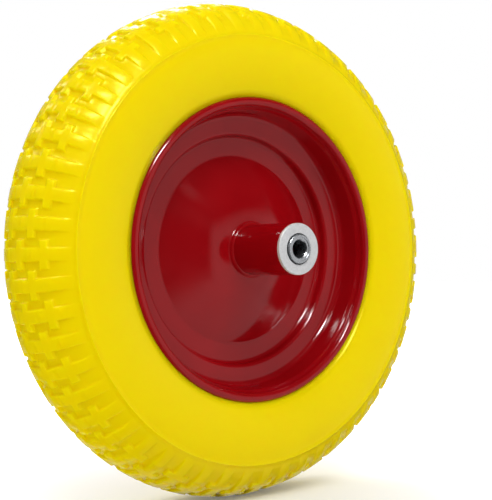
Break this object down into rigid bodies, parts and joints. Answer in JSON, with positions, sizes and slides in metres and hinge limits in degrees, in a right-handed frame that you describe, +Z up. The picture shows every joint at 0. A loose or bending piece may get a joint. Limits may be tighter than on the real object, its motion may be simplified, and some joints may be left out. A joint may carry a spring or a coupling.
{
  "type": "solid polyurethane wheel",
  "caption": "Solid foam tyre with a block tread on a dished pressed steel rim, turning on flanged ball bearings in both ends of a long tube hub.",
  "frame": {"origin": "centre of the wheel, on its axis and in the middle plane of the tyre", "axes": "+Y along the wheel's axis, +Z up; the hub end at -Y is the one nearer to the viewer in the picture"},
  "size_m": [0.3748, 0.1532, 0.3748],
  "materials": {
    "tyre_foam": "satin",
    "red_paint": "gloss",
    "zinc_plate": "satin",
    "bright_plate": "gloss",
    "bearing_steel": "gloss"
  },
  "bodies": {
    "wheel": {"tyre": "tyre_foam", "hub_tube": "red_paint", "rim_half_near": "red_paint", "rim_half_far": "red_paint", "hub_weld_near": "red_paint", "hub_weld_far": "red_paint", "bearing_outer_race_near": "bearing_steel", "bearing_outer_race_far": "bearing_steel", "bearing_cover_near": "zinc_plate", "bearing_cover_far": "zinc_plate", "bearing_rear_shield_near": "zinc_plate", "bearing_rear_shield_far": "zinc_plate"},
    "inner_ring_near": {"bearing_inner_ring_near": "bright_plate"},
    "ball_row_near": {"bearing_balls_near": "bearing_steel"},
    "inner_ring_far": {"bearing_inner_ring_far": "bright_plate"},
    "ball_row_far": {"bearing_balls_far": "bearing_steel"}
  },
  "joints": [
    {"name": "inner_ring_turn_near", "type": "hinge", "parent": "wheel", "child": "inner_ring_near", "pos_m": [0, -0.0667, 0], "axis": [0, 1, 0], "continuous": true},
    {"name": "ball_row_turn_near", "type": "hinge", "parent": "wheel", "child": "ball_row_near", "pos_m": [0, -0.0667, 0], "axis": [0, 1, 0], "continuous": true},
    {"name": "inner_ring_turn_far", "type": "hinge", "parent": "wheel", "child": "inner_ring_far", "pos_m": [0, 0.0667, 0], "axis": [0, 1, 0], "continuous": true},
    {"name": "ball_row_turn_far", "type": "hinge", "parent": "wheel", "child": "ball_row_far", "pos_m": [0, 0.0667, 0], "axis": [0, 1, 0], "continuous": true}
  ],
  "couplings": [
    {"joint": "ball_row_turn_near", "follows": "inner_ring_turn_near", "ratio": 0.3686},
    {"joint": "ball_row_turn_far", "follows": "inner_ring_turn_far", "ratio": 0.3686}
  ]
}
